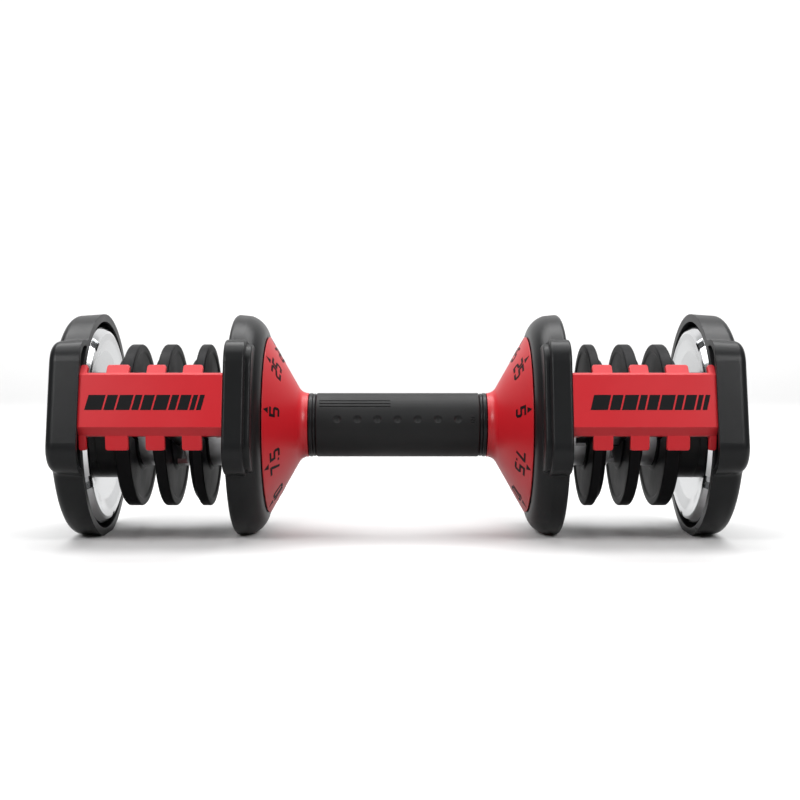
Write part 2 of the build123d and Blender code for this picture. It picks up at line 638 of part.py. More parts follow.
# ---------------------------------------------------------------- the plates
# Each plate sits on the selector tube by a slot that opens towards the beam, and has a lug on its
# handle side, behind the tube, that the cam's lip turns in under.
for plate_name, (face, rim_end, bosses) in PLATES.items():
    boss_start = rim_end - PLATE_EDGE
    with BuildPart() as plate:
        with BuildSketch(Plane.YZ.offset(face)):
            Circle(PLATE_RADIUS)
        extrude(amount=rim_end - face)
        fillet(plate.edges().filter_by(GeomType.CIRCLE), PLATE_EDGE)
        for radius, end, (bevel_along, bevel_across), half in bosses:
            boss = profile(
                (boss_start, 0),
                (end, 0),
                (end, radius - bevel_across),
                (end - bevel_along, radius),
                (boss_start, radius),
            )
            revolve(boss, axis=HALVES[half], revolution_arc=360 if half == "round" else 180)
        dish = profile(
            (face - 1, DISH_OUTER),
            (face, DISH_OUTER),
            (face + DISH_DEPTH, DISH_OUTER - 2 * DISH_DEPTH),
            (face + DISH_DEPTH, DISH_INNER + 2 * DISH_DEPTH),
            (face, DISH_INNER),
            (face - 1, DISH_INNER),
        )
        revolve(dish, axis=Axis.X, mode=Mode.SUBTRACT)
        with BuildSketch(Plane.YZ.offset(face)):
            with Locations(((LUG_NEAR + LUG_FAR) / 2, 0)):
                Rectangle(LUG_FAR - LUG_NEAR, 2 * LUG_HALF_WIDTH)
        extrude(amount=-LUG_LENGTH)
        with BuildSketch(Plane.YZ.offset(face - LUG_LENGTH)):
            Circle(SLOT_HALF)
            with Locations((-PLATE_RADIUS, 0)):
                Rectangle(2 * PLATE_RADIUS, 2 * SLOT_HALF)
        extrude(amount=PLATE_PITCH, mode=Mode.SUBTRACT)
    save_pair(plate.part, f"plate_{plate_name}")
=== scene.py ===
# %% [markdown]
# # An adjustable dumbbell, dressed for its picture
#
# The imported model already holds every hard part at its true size: grip, cones, flanges, beams,
# plates, caps. This lesson gives those parts their finishes, adds the printed numbers and bars
# that are too thin to be worth modelling in CAD, and sets up a plain studio.
#
# The first cell loads the fixed frame. Everything is in metres, +X along the handle, -Y to the
# front, and the floor is at z = 0.

# %% Load the frame
import bmesh
import bpy
import json
import math
from mathutils import Matrix, Vector
from mathutils.bvhtree import BVHTree


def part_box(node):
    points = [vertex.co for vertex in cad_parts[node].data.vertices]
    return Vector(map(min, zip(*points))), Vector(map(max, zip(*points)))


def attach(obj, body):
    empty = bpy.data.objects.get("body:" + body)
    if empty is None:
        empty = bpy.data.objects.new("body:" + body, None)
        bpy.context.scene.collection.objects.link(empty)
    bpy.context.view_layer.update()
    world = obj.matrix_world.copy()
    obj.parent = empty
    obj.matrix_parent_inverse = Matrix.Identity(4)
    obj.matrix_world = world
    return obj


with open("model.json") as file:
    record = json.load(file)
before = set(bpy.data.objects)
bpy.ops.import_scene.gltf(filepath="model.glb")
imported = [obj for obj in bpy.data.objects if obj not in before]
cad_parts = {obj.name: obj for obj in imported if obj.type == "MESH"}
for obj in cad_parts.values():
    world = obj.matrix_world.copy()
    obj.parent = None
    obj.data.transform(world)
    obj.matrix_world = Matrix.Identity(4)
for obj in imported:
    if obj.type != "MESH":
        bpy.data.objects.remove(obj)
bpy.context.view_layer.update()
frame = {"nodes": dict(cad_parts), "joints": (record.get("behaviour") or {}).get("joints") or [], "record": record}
nodes = frame["nodes"]
joints = {joint["name"]: joint for joint in frame["joints"]}

# %% [markdown]
# ## The handle's own frame
#
# The dumbbell lies rolled back a little on its rings, so its reading mark looks up at the user.
# Working in that tilted frame by hand is error-prone. The record already says where the handle's
# axis runs and which way the plates leave, straight out of the back. The tilt is worked out from
# those two facts, and every printed mark is drawn in the handle's frame and then turned once.

# %% Find the axis and the roll
AXIS = Vector(joints["dial_turn"]["pos_m"])
backwards = Vector(joints["plate_outer_right_drop"]["axis"])
ROLL = math.atan2(-backwards.z, backwards.y)
OWN = Matrix.Translation(AXIS) @ Matrix.Rotation(-ROLL, 4, "X")
print("axis height", round(AXIS.z, 4), "roll", round(math.degrees(ROLL), 2))


def own_point(along, front, up):
    """A point given in the handle's frame, front being the distance towards the reader."""
    return OWN @ Vector((along, -front, up))


# %% [markdown]
# ## Small tools for node trees
#
# Every finish is a node tree. Adding nodes one call at a time makes long code, so two helpers
# do it: one makes a node and fills in its sockets, and one joins two sockets.

# %% Node helpers
def add_node(tree, kind, values=None, **settings):
    """Add a shader node, set its options and then its input values by name or number."""
    node = tree.nodes.new(kind)
    for name, value in settings.items():
        setattr(node, name, value)
    for key, value in (values or {}).items():
        node.inputs[key].default_value = value
    return node


def join(tree, source, target):
    """Join an output socket to an input socket."""
    tree.links.new(source, target)


def new_group(name, inputs, outputs):
    """An empty shader node group. Inputs are (name, type, default); outputs are (name, type)."""
    tree = bpy.data.node_groups.new(name, "ShaderNodeTree")
    for title, kind, default in inputs:
        socket = tree.interface.new_socket(title, in_out="INPUT", socket_type=kind)
        socket.default_value = default
    for title, kind in outputs:
        tree.interface.new_socket(title, in_out="OUTPUT", socket_type=kind)
    return tree, tree.nodes.new("NodeGroupInput"), tree.nodes.new("NodeGroupOutput")


def use_group(tree, group, values=None):
    """Place a node group in a material."""
    node = tree.nodes.new("ShaderNodeGroup")
    node.node_tree = group
    for key, value in (values or {}).items():
        node.inputs[key].default_value = value
    return node


FLOAT, COLOR, VECTOR = "NodeSocketFloat", "NodeSocketColor", "NodeSocketVector"

# %% [markdown]
# ## Moulded grain
#
# Black housings and rubber come out of a mould whose steel was spark-eroded, so their surface is
# covered with soft pits a few tenths of a millimetre across. A picture could be used for that,
# but procedural noise never runs out of resolution and needs no unwrapping. Two octaves of noise
# make the pits, and a slow third noise makes some areas a little shinier, as handling does. The
# pits are laid over the Bevel node's normal, so that every moulded corner catches a thin line of
# light as if it had a small radius.

# %% Group: moulded grain
grain_group, g_in, g_out = new_group(
    "moulded_grain",
    [("Cells per metre", FLOAT, 900.0), ("Depth", FLOAT, 0.00004), ("Low roughness", FLOAT, 0.4),
     ("High roughness", FLOAT, 0.55), ("Edge radius", FLOAT, 0.0005)],
    [("Normal", VECTOR), ("Roughness", FLOAT)],
)
place = add_node(grain_group, "ShaderNodeTexCoord")
pits = add_node(grain_group, "ShaderNodeTexNoise", {"Detail": 3.0, "Roughness": 0.55})
join(grain_group, place.outputs["Object"], pits.inputs["Vector"])
join(grain_group, g_in.outputs["Cells per metre"], pits.inputs["Scale"])
relief = add_node(grain_group, "ShaderNodeBump", {"Strength": 1.0})
join(grain_group, pits.outputs["Fac"], relief.inputs["Height"])
join(grain_group, g_in.outputs["Depth"], relief.inputs["Distance"])
soft_edge = add_node(grain_group, "ShaderNodeBevel", samples=4)
join(grain_group, g_in.outputs["Edge radius"], soft_edge.inputs["Radius"])
join(grain_group, soft_edge.outputs["Normal"], relief.inputs["Normal"])
slow = add_node(grain_group, "ShaderNodeTexNoise", {"Scale": 26.0, "Detail": 4.0, "Roughness": 0.6})
join(grain_group, place.outputs["Object"], slow.inputs["Vector"])
spread = add_node(grain_group, "ShaderNodeMapRange", {"From Min": 0.3, "From Max": 0.7})
join(grain_group, slow.outputs["Fac"], spread.inputs["Value"])
join(grain_group, g_in.outputs["Low roughness"], spread.inputs["To Min"])
join(grain_group, g_in.outputs["High roughness"], spread.inputs["To Max"])
join(grain_group, relief.outputs["Normal"], g_out.inputs["Normal"])
join(grain_group, spread.outputs["Result"], g_out.inputs["Roughness"])
print("group", grain_group.name)

# %% [markdown]
# ## Edge wear
#
# Corners rub first. A mesh's own pointiness only works where it has many vertices, and machined
# parts have few, so this group compares the surface normal with the normal that the Bevel node
# gives for a rounded edge. Where the two differ there is an edge nearby. Noise breaks the mask
# up, so the wear comes in patches.

# %% Group: edge wear
wear_group, w_in, w_out = new_group(
    "edge_wear",
    [("Width", FLOAT, 0.0008), ("Amount", FLOAT, 0.5)],
    [("Mask", FLOAT)],
)
rounded = add_node(wear_group, "ShaderNodeBevel", samples=4)
join(wear_group, w_in.outputs["Width"], rounded.inputs["Radius"])
shape = add_node(wear_group, "ShaderNodeNewGeometry")
same = add_node(wear_group, "ShaderNodeVectorMath", operation="DOT_PRODUCT")
join(wear_group, rounded.outputs["Normal"], same.inputs[0])
join(wear_group, shape.outputs["Normal"], same.inputs[1])
near_edge = add_node(wear_group, "ShaderNodeMapRange", {"From Min": 0.999, "From Max": 0.9})
join(wear_group, same.outputs["Value"], near_edge.inputs["Value"])
spot = add_node(wear_group, "ShaderNodeTexCoord")
patches = add_node(wear_group, "ShaderNodeTexNoise", {"Scale": 160.0, "Detail": 5.0})
join(wear_group, spot.outputs["Object"], patches.inputs["Vector"])
broken = add_node(wear_group, "ShaderNodeMapRange", {"From Min": 0.4, "From Max": 0.62})
join(wear_group, patches.outputs["Fac"], broken.inputs["Value"])
both = add_node(wear_group, "ShaderNodeMath", operation="MULTIPLY")
join(wear_group, near_edge.outputs["Result"], both.inputs[0])
join(wear_group, broken.outputs["Result"], both.inputs[1])
amount = add_node(wear_group, "ShaderNodeMath", operation="MULTIPLY")
join(wear_group, both.outputs["Value"], amount.inputs[0])
join(wear_group, w_in.outputs["Amount"], amount.inputs[1])
join(wear_group, amount.outputs["Value"], w_out.inputs["Mask"])
print("group", wear_group.name)

# %% [markdown]
# ## Turning marks
#
# Turned and plated parts carry faint rings round the handle's axis. A wave texture would show
# the same ring spacing everywhere, so the rings are noise that only changes with distance from
# the axis and along it: the position is reduced to those two numbers before the noise reads it.

# %% Group: turning marks
turned_group, t_in, t_out = new_group(
    "turning_marks",
    [("Rings per metre", FLOAT, 1500.0), ("Depth", FLOAT, 0.00001)],
    [("Normal", VECTOR)],
)
at = add_node(turned_group, "ShaderNodeTexCoord")
from_axis = add_node(turned_group, "ShaderNodeVectorMath", operation="SUBTRACT")
from_axis.inputs[1].default_value = AXIS
join(turned_group, at.outputs["Object"], from_axis.inputs[0])
parts = add_node(turned_group, "ShaderNodeSeparateXYZ")
join(turned_group, from_axis.outputs["Vector"], parts.inputs["Vector"])
flat = add_node(turned_group, "ShaderNodeCombineXYZ")
join(turned_group, parts.outputs["Y"], flat.inputs["Y"])
join(turned_group, parts.outputs["Z"], flat.inputs["Z"])
radius = add_node(turned_group, "ShaderNodeVectorMath", operation="LENGTH")
join(turned_group, flat.outputs["Vector"], radius.inputs[0])
reduced = add_node(turned_group, "ShaderNodeCombineXYZ")
join(turned_group, parts.outputs["X"], reduced.inputs["X"])
join(turned_group, radius.outputs["Value"], reduced.inputs["Y"])
rings = add_node(turned_group, "ShaderNodeTexNoise", {"Detail": 2.0})
join(turned_group, reduced.outputs["Vector"], rings.inputs["Vector"])
join(turned_group, t_in.outputs["Rings per metre"], rings.inputs["Scale"])
ring_relief = add_node(turned_group, "ShaderNodeBump", {"Strength": 1.0})
join(turned_group, rings.outputs["Fac"], ring_relief.inputs["Height"])
join(turned_group, t_in.outputs["Depth"], ring_relief.inputs["Distance"])
join(turned_group, ring_relief.outputs["Normal"], t_out.inputs["Normal"])
print("group", turned_group.name)

# %% [markdown]
# ## Soft colour change
#
# No moulding is one even colour: pigment, light scuffs and dust vary it by a few percent. This
# group takes a base colour and an accent and mixes them by a broad noise.

# %% Group: soft colour change
tint_group, c_in, c_out = new_group(
    "soft_colour",
    [("Colour", COLOR, (0.5, 0.5, 0.5, 1)), ("Accent", COLOR, (0.4, 0.4, 0.4, 1)),
     ("Scale", FLOAT, 40.0)],
    [("Colour", COLOR)],
)
here = add_node(tint_group, "ShaderNodeTexCoord")
cloud = add_node(tint_group, "ShaderNodeTexNoise", {"Detail": 6.0, "Roughness": 0.65})
join(tint_group, here.outputs["Object"], cloud.inputs["Vector"])
join(tint_group, c_in.outputs["Scale"], cloud.inputs["Scale"])
blend_colours = add_node(tint_group, "ShaderNodeMix", data_type="RGBA")
join(tint_group, cloud.outputs["Fac"], blend_colours.inputs["Factor"])
join(tint_group, c_in.outputs["Colour"], blend_colours.inputs["A"])
join(tint_group, c_in.outputs["Accent"], blend_colours.inputs["B"])
join(tint_group, blend_colours.outputs["Result"], c_out.inputs["Colour"])
print("group", tint_group.name)

# %% [markdown]
# ## One recipe for the moulded finishes
#
# The housings, the red parts, the rubber, the acetal bushes and the printing ink differ only in
# colour, grain and shine, so one function builds them: colour from the soft colour group, a
# lighter tone where the edge wear mask says so, and grain for the roughness and the normal.

# %% Moulded materials
def start_material(name):
    """A new node material, with its tree and its main shader."""
    material = bpy.data.materials.new(name)
    material.use_nodes = True
    tree = material.node_tree
    return material, tree, tree.nodes["Principled BSDF"]


def moulded(name, colour, accent, worn, grain, wear, gloss=0.5):
    """A moulded plastic or rubber.

    grain holds cells per metre, depth, low and high roughness, and the edge radius.
    wear holds the width and the amount of the edge wear.
    """
    material, tree, shader = start_material(name)
    tint = use_group(tree, tint_group, {"Colour": (*colour, 1), "Accent": (*accent, 1)})
    edges = use_group(tree, wear_group, {"Width": wear[0], "Amount": wear[1]})
    surface = use_group(tree, grain_group, dict(zip(
        ("Cells per metre", "Depth", "Low roughness", "High roughness", "Edge radius"), grain)))
    rub = add_node(tree, "ShaderNodeMix", data_type="RGBA")
    rub.inputs["B"].default_value = (*worn, 1)
    join(tree, edges.outputs["Mask"], rub.inputs["Factor"])
    join(tree, tint.outputs["Colour"], rub.inputs["A"])
    join(tree, rub.outputs["Result"], shader.inputs["Base Color"])
    join(tree, surface.outputs["Roughness"], shader.inputs["Roughness"])
    join(tree, surface.outputs["Normal"], shader.inputs["Normal"])
    shader.inputs["Specular IOR Level"].default_value = gloss
    return material


black_plastic = moulded(
    "black_moulded_plastic", (0.009, 0.0095, 0.01), (0.015, 0.0155, 0.0165), (0.05, 0.05, 0.053),
    (1500.0, 0.00003, 0.27, 0.37, 0.0006), (0.0007, 0.35), 0.2)
red_plastic = moulded(
    "red_satin_plastic", (0.64, 0.013, 0.022), (0.57, 0.011, 0.019), (0.78, 0.09, 0.095),
    (1100.0, 0.000012, 0.32, 0.4, 0.0006), (0.0006, 0.5))
grip_rubber = moulded(
    "grip_rubber", (0.009, 0.0095, 0.01), (0.014, 0.0145, 0.015), (0.035, 0.035, 0.036),
    (2200.0, 0.00005, 0.46, 0.58, 0.0004), (0.0005, 0.3), 0.24)
acetal = moulded(
    "natural_acetal", (0.66, 0.64, 0.58), (0.58, 0.56, 0.5), (0.8, 0.8, 0.76),
    (900.0, 0.00001, 0.35, 0.45, 0.0003), (0.0005, 0.2))
ink = moulded(
    "black_ink", (0.004, 0.004, 0.005), (0.008, 0.008, 0.009), (0.03, 0.02, 0.02),
    (3000.0, 0.00001, 0.45, 0.58, 0.0), (0.0003, 0.0), 0.15)
print("moulded finishes", [m.name for m in (black_plastic, red_plastic, grip_rubber, acetal, ink)])

# %% [markdown]
# ## Enamelled iron
#
# The plates are cast, ground and dipped in black enamel. The enamel pools a little, so its
# surface has a gentle orange peel, and it chips to a duller tone at the rims. Its shine is kept
# low, because the plates' faces are seen at a glancing angle, where any varnish turns bright.

# %% Plate enamel
def enamel():
    """Black enamel over cast iron."""
    material, tree, shader = start_material("plate_enamel")
    tint = use_group(tree, tint_group, {
        "Colour": (0.008, 0.008, 0.009, 1), "Accent": (0.013, 0.013, 0.014, 1)})
    edges = use_group(tree, wear_group, {"Width": 0.0008, "Amount": 0.5})
    peel = use_group(tree, grain_group, {
        "Cells per metre": 420.0, "Depth": 0.00005, "Low roughness": 0.36, "High roughness": 0.5})
    rub = add_node(tree, "ShaderNodeMix", data_type="RGBA")
    rub.inputs["B"].default_value = (0.1, 0.1, 0.1, 1)
    join(tree, edges.outputs["Mask"], rub.inputs["Factor"])
    join(tree, tint.outputs["Colour"], rub.inputs["A"])
    join(tree, rub.outputs["Result"], shader.inputs["Base Color"])
    join(tree, peel.outputs["Roughness"], shader.inputs["Roughness"])
    join(tree, peel.outputs["Normal"], shader.inputs["Normal"])
    shader.inputs["Specular IOR Level"].default_value = 0.06
    return material


plate_enamel = enamel()
print("finish", plate_enamel.name)

# %% [markdown]
# ## Chrome and bare steel
#
# Both are metals, so nearly everything seen is a reflection. What tells them apart is the
# roughness and the depth of the turning marks: the plated disc is close to a mirror with a faint
# haze, while the rod, nuts and cams are as they left the lathe.

# %% Metals
def metal(name, colour, roughness, depth, haze):
    """A turned metal: roughness and haze are its lowest and highest roughness."""
    material, tree, shader = start_material(name)
    marks = use_group(tree, turned_group, {"Depth": depth})
    smear = use_group(tree, grain_group, {
        "Cells per metre": 60.0, "Depth": 0.0, "Low roughness": roughness, "High roughness": haze})
    tint = use_group(tree, tint_group, {
        "Colour": (*colour, 1), "Accent": tuple(0.9 * c for c in colour) + (1,)})
    join(tree, tint.outputs["Colour"], shader.inputs["Base Color"])
    join(tree, smear.outputs["Roughness"], shader.inputs["Roughness"])
    join(tree, marks.outputs["Normal"], shader.inputs["Normal"])
    shader.inputs["Metallic"].default_value = 1.0
    return material


chrome = metal("chrome_plate", (0.86, 0.87, 0.88), 0.09, 0.000002, 0.16)
steel = metal("turned_steel", (0.56, 0.56, 0.57), 0.28, 0.000012, 0.4)
print("finishes", chrome.name, steel.name)

# %% [markdown]
# ## Finishes onto the hard parts
#
# The record says which finish each hard part takes. Putting the material in the object's slot
# leaves its mesh alone.

# %% Dress the CAD parts
FINISH = {
    "black_plastic": black_plastic,
    "red_plastic": red_plastic,
    "grip_rubber": grip_rubber,
    "chrome": chrome,
    "plate_enamel": plate_enamel,
    "steel": steel,
    "bearing_plastic": acetal,
}
for row in frame["record"]["subparts"]:
    part = nodes[row["node"]]
    part.data.materials.clear()
    part.data.materials.append(FINISH[row["material_slot"]])

# %% [markdown]
# ## Numbers for the dial
#
# The dial's numbers are printed in heavy square digits. A font would do, but its outlines have
# hundreds of points and don't bend with the cone. Each digit here is one pen stroke: a short
# list of corner points in a box one unit wide, given a width afterwards. That is light, easy to
# change, and every stroke can be cut into short lengths that follow the curve.

# %% Strokes of each digit
DIGIT_HEIGHT = 1.85        # of a digit's box, whose width is 1
PEN = 0.36
CUT = 0.16                 # cut corners, in box units
HALF = DIGIT_HEIGHT / 2
STROKES = {
    "0": [[(CUT, 0), (1 - CUT, 0), (1, CUT), (1, DIGIT_HEIGHT - CUT), (1 - CUT, DIGIT_HEIGHT),
           (CUT, DIGIT_HEIGHT), (0, DIGIT_HEIGHT - CUT), (0, CUT), (CUT, 0)]],
    "1": [[(0.25, DIGIT_HEIGHT - 0.25), (0.6, DIGIT_HEIGHT), (0.6, 0)]],
    "2": [[(0, DIGIT_HEIGHT), (1 - CUT, DIGIT_HEIGHT), (1, DIGIT_HEIGHT - CUT), (1, HALF + CUT),
           (1 - CUT, HALF), (CUT, HALF - 0.1), (0, HALF - CUT - 0.1), (0, 0), (1, 0)]],
    "5": [[(1, DIGIT_HEIGHT), (0, DIGIT_HEIGHT), (0, HALF + 0.06), (1 - CUT, HALF + 0.06),
           (1, HALF - CUT), (1, CUT), (1 - CUT, 0), (0, 0)]],
    "7": [[(0, DIGIT_HEIGHT), (1, DIGIT_HEIGHT), (1, DIGIT_HEIGHT - 0.2), (0.45, 0)]],
    ".": [[(0.1, 0.02), (0.1, 0.3)]],
}
DIGIT_ADVANCE = 1.5         # from one digit's left side to the next one's
DIGIT_SPACE = 0.5           # the part of it that is empty
ADVANCE = {"1": 1.15, ".": 0.6}


def lay_out(text):
    """Strokes of a number side by side, centred on zero, as lists of (across, up) points."""
    strokes, pen_at = [], 0.0
    for character in text:
        for stroke in STROKES[character]:
            strokes.append([(x + pen_at, y) for x, y in stroke])
        pen_at += ADVANCE.get(character, DIGIT_ADVANCE)
    width = pen_at - DIGIT_SPACE
    return [[(x - width / 2, y - HALF) for x, y in stroke] for stroke in strokes]


print("digits", sorted(STROKES), "widest", len(lay_out("22.5")), "strokes")

# %% [markdown]
# ## From pen strokes to raised print
#
# A stroke becomes a ribbon: at each corner the two sides are mitred, long runs are cut into
# short lengths, and the flat ribbon is carried onto the surface by a placing function. The
# ribbon gets a thin wall all round, so that it is a closed solid standing a tenth of a
# millimetre proud, like thick printing ink.

# %% Ribbons
MITRE_LIMIT = 0.35          # stops a very sharp corner from growing a long spike


def mitred(points, width, closed):
    """Left and right sides of a stroke, one pair for each point."""
    count = len(points)
    sides = []
    for i, point in enumerate(points):
        here = Vector(point)
        before = Vector(points[(i - 1) % count]) if closed or i else None
        after = Vector(points[(i + 1) % count]) if closed or i < count - 1 else None
        into = (here - before).normalized() if before is not None else (after - here).normalized()
        out = (after - here).normalized() if after is not None else into
        along = (into + out).normalized()
        across = Vector((-along.y, along.x))
        reach = width / 2 / max(MITRE_LIMIT, across.dot(Vector((-into.y, into.x))))
        sides.append((here + across * reach, here - across * reach))
    return sides


def ribbon(shape, stroke, width, step, place, thickness):
    """Add one closed ribbon to a bmesh. place(across, up, lift) gives the point in space."""
    closed = stroke[0] == stroke[-1]
    points = stroke[:-1] if closed else stroke
    sides = mitred(points, width, closed)
    rows = []
    spans = list(zip(sides, sides[1:] + (sides[:1] if closed else [])))
    for (left_a, right_a), (left_b, right_b) in spans:
        cuts = max(1, math.ceil((left_b - left_a).length / step))
        for k in range(cuts):
            rows.append((left_a.lerp(left_b, k / cuts), right_a.lerp(right_b, k / cuts)))
    if not closed:
        rows.append(sides[-1])
    rings = []
    for left, right in rows:
        middle = left.lerp(right, 0.5)
        top = [shape.verts.new(place(*point, thickness)) for point in (left, middle, right)]
        base = [shape.verts.new(place(*point, -thickness)) for point in (right, middle, left)]
        rings.append(top + base)
    pairs = zip(rings, rings[1:] + (rings[:1] if closed else []))
    for ring_a, ring_b in pairs:
        for k in range(6):
            shape.faces.new((ring_a[k], ring_a[(k + 1) % 6], ring_b[(k + 1) % 6], ring_b[k]))
    if not closed:
        shape.faces.new(rings[0])
        shape.faces.new(list(reversed(rings[-1])))


def finish_piece(name, shape, material, body):
    """Turn a bmesh into a named piece that rides on a body."""
    bmesh.ops.recalc_face_normals(shape, faces=shape.faces)
    mesh = bpy.data.meshes.new(name)
    shape.to_mesh(mesh)
    shape.free()
    piece = bpy.data.objects.new(name, mesh)
    bpy.context.scene.collection.objects.link(piece)
    mesh.materials.append(material)
    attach(piece, body)
    return piece


# %% [markdown]
# ## Printing on the cones
#
# The digits stand with their tops towards the rim, and each number has a small pointer between
# it and the rim. The cone's side is straight where the print goes, so two rays are enough to
# find it: each starts in front of the cone and falls straight towards the axis until it meets
# the moulding. The two radii give the slope, and every point of a ribbon follows from them.

# %% Numbers and pointers
SIDE_NAMES = {1: "right", -1: "left"}
NUMBERS = ("5", "7.5", "10", "12.5", "15", "17.5", "20", "22.5", "25")
DIGIT_WIDTH = 0.0047
NUMBER_RADIUS = 0.0443     # from the axis to the middle of the digits
PRINT_THICKNESS = 0.00012
POINTER_GAP = 0.0013
POINTER_LENGTH = 0.0048
POINTER_WIDTH = 0.0036
STEP = 0.0009              # the longest piece of ribbon that stays straight
STRAIGHT_STRETCH = (0.4, 0.9)   # the parts of the cone's length between which its side is straight
CLEAR_OF_ALL = 0.2         # a distance from the axis that is outside every part


def front_face(node, along, up):
    """How far in front of the axis a hard part's surface lies, found by a ray from the front."""
    tree = BVHTree.FromObject(nodes[node], bpy.context.evaluated_depsgraph_get())
    spoke = OWN.to_3x3() @ Vector((0, -1, 0))
    hit = tree.ray_cast(own_point(along, CLEAR_OF_ALL, up), -spoke)[0]
    return (hit - own_point(along, 0, up)).length


def cone_printer(side):
    """A function that carries (angle, out along the slope, lift) onto one cone's face."""
    name = f"dial_cone_{SIDE_NAMES[side]}"
    low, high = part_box(name)
    near = min(abs(low.x), abs(high.x))
    far = max(abs(low.x), abs(high.x))
    inner, outer = (near + part * (far - near) for part in STRAIGHT_STRETCH)
    radius_inner, radius_outer = (front_face(name, side * along, 0) for along in (inner, outer))
    slope = math.atan2(radius_outer - radius_inner, outer - inner)

    def place(angle, radius, lift):
        along = inner + (radius - radius_inner) / math.tan(slope)
        along -= lift * math.sin(slope)
        distance = radius + lift * math.cos(slope)
        return own_point(side * along, distance * math.cos(angle), distance * math.sin(angle))

    return place, slope


def print_cone(side):
    """All nine numbers and pointers of one cone, as one piece."""
    place, slope = cone_printer(side)
    shape = bmesh.new()
    for position, text in enumerate(NUMBERS):
        middle = -math.radians(360 / len(NUMBERS)) * position

        def on_cone(across, up, lift):
            radius = NUMBER_RADIUS + up * DIGIT_WIDTH * math.sin(slope)
            angle = middle - side * across * DIGIT_WIDTH / NUMBER_RADIUS
            return place(angle, radius, lift)

        for stroke in lay_out(text):
            ribbon(shape, stroke, PEN, STEP / DIGIT_WIDTH, on_cone, PRINT_THICKNESS)
        base = (HALF + PEN / 2) * DIGIT_WIDTH * math.sin(slope) + POINTER_GAP
        add_pointer(shape, middle, NUMBER_RADIUS + base, place, slope)
    return finish_piece(f"dial_numbers_{SIDE_NAMES[side]}", shape, ink, "dial")


def add_pointer(shape, middle, start, place, slope):
    """A small solid triangle with its tip towards the rim."""
    corners = (
        (middle - POINTER_WIDTH / 2 / start, start),
        (middle + POINTER_WIDTH / 2 / start, start),
        (middle, start + POINTER_LENGTH * math.sin(slope)),
    )
    top = [shape.verts.new(place(angle, radius, PRINT_THICKNESS)) for angle, radius in corners]
    base = [shape.verts.new(place(angle, radius, -PRINT_THICKNESS)) for angle, radius in corners]
    shape.faces.new(top)
    shape.faces.new(list(reversed(base)))
    for k in range(3):
        shape.faces.new((top[k], base[k], base[(k + 1) % 3], top[(k + 1) % 3]))


for side in SIDE_NAMES:
    piece = print_cone(side)
    print(piece.name, len(piece.data.polygons), "faces")

# %% [markdown]
# ## Bars on the beams
#
# Each beam carries a bold black print in the middle of its face. A maker would put a name
# there. This one gets a plain rhythm of slanted bars instead, which fills the same place.

# %% Slanted bars
BAR_WIDTHS = (0.0098, 0.0060, 0.0078, 0.0040, 0.0060, 0.0078, 0.0040, 0.0060, 0.0027, 0.0027)
BAR_GAP = 0.0011
BAR_HEIGHT = 0.0088
BAR_SLANT = 0.0022
BAR_OFFSET = 0.0030        # the print sits this far outwards from the beam's middle
BAR_LEVEL = -0.0002


def print_beam(side):
    """Slanted bars on one beam's flat face."""
    beam = f"beam_{SIDE_NAMES[side]}"
    low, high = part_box(beam)
    middle = (low.x + high.x) / 2 + side * BAR_OFFSET
    face = front_face(beam, middle, BAR_LEVEL)
    at = -(sum(BAR_WIDTHS) + BAR_GAP * (len(BAR_WIDTHS) - 1)) / 2
    shape = bmesh.new()
    for width in BAR_WIDTHS:
        top, base = [], []
        for along, end in ((at, -1), (at + width, -1), (at + width, 1), (at, 1)):
            x = middle + along + end * BAR_SLANT / 2
            up = BAR_LEVEL + end * BAR_HEIGHT / 2
            for ring, lift in ((top, PRINT_THICKNESS), (base, -PRINT_THICKNESS)):
                ring.append(shape.verts.new(own_point(x, face + lift, up)))
        shape.faces.new(top)
        shape.faces.new(list(reversed(base)))
        for k in range(4):
            shape.faces.new((top[k], base[k], base[(k + 1) % 4], top[(k + 1) % 4]))
        at += width + BAR_GAP
    return finish_piece(f"beam_print_{SIDE_NAMES[side]}", shape, ink, "frame")


for side in SIDE_NAMES:
    print(print_beam(side).name)

# %% [markdown]
# ## The studio
#
# A floor that sweeps up into a backdrop has no horizon line. It is a plain pale sheet, and the
# dumbbell's soft shadow lands on it. White paper throws a lot of light back up, which would
# fill the shaded undersides that give the beams and rings their shape. So the lens sees white
# paper, while mirror images and scattered light find a greyer one. The sheet ends just short of
# the lens for the same reason, and its upright part glows a little, as if lit from behind.

# %% Floor and backdrop
SWEEP_FRONT, SWEEP_BACK, SWEEP_RADIUS, SWEEP_TOP, SWEEP_HALF = -0.62, 1.6, 0.8, 3.0, 4.0
SWEEP_STEPS = 12


def sweep_profile():
    """Side outline of the sheet, from the front edge, along the floor and up the back."""
    outline = [(SWEEP_FRONT, 0.0), (SWEEP_BACK, 0.0)]
    for k in range(1, SWEEP_STEPS + 1):
        angle = math.pi / 2 * k / SWEEP_STEPS
        depth, height = SWEEP_RADIUS * math.sin(angle), SWEEP_RADIUS * (1 - math.cos(angle))
        outline.append((SWEEP_BACK + depth, height))
    outline.append((SWEEP_BACK + SWEEP_RADIUS, SWEEP_TOP))
    return outline


